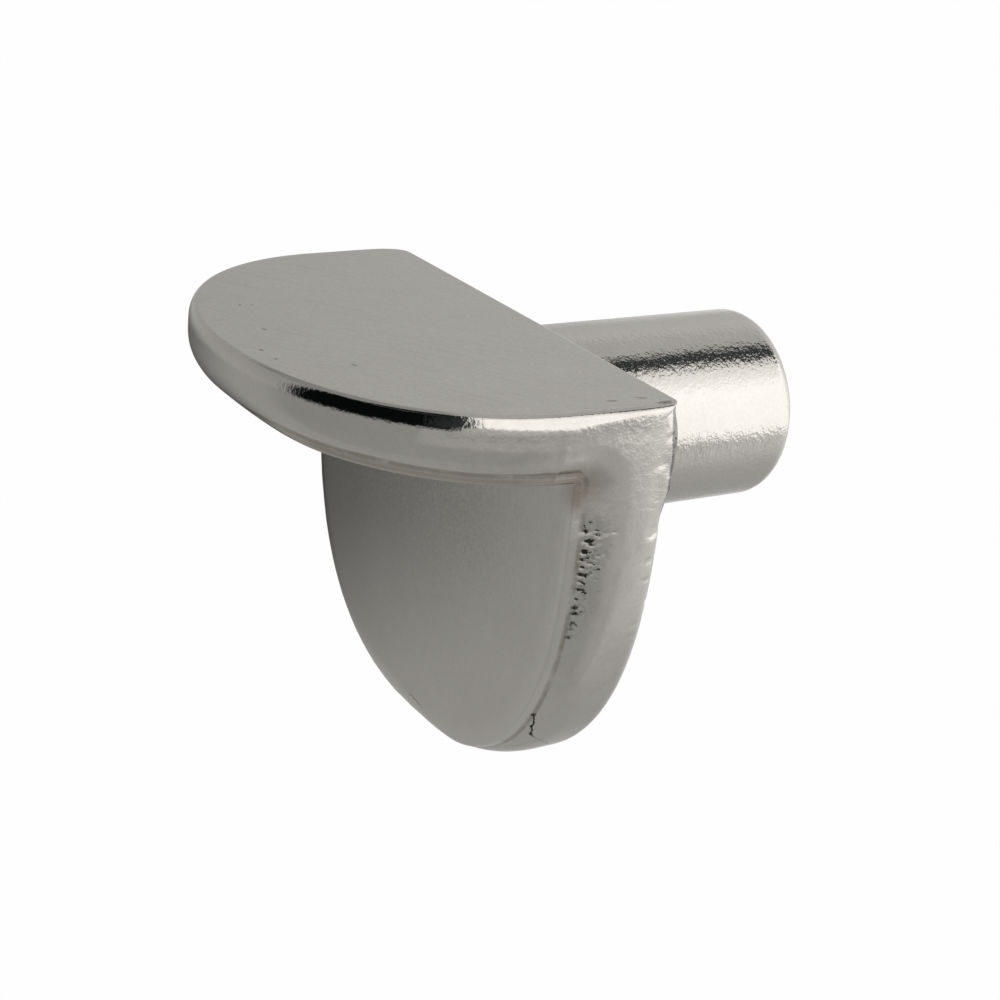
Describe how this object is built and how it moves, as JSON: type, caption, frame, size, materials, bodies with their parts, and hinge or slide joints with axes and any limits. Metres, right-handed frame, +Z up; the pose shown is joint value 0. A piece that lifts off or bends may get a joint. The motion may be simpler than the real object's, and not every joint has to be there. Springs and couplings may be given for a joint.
{
  "type": "shelf support pin",
  "caption": "Nickel-plated shelf support with a round plug-in pin, a flange that bears on the cabinet side and a tongue-shaped plate that carries the shelf.",
  "frame": {"origin": "on the pin's axis, in the plane of the flange's back, which bears on the cabinet side", "axes": "+Y along the pin, from the flange towards its free end; +Z up, square to the seat that carries the shelf; +X along the flange's width"},
  "size_m": [0.0132, 0.0154, 0.0109],
  "materials": {
    "nickel": "satin nickel plating over a zinc die casting"
  },
  "bodies": {
    "root": {"support": "nickel"}
  },
  "joints": []
}
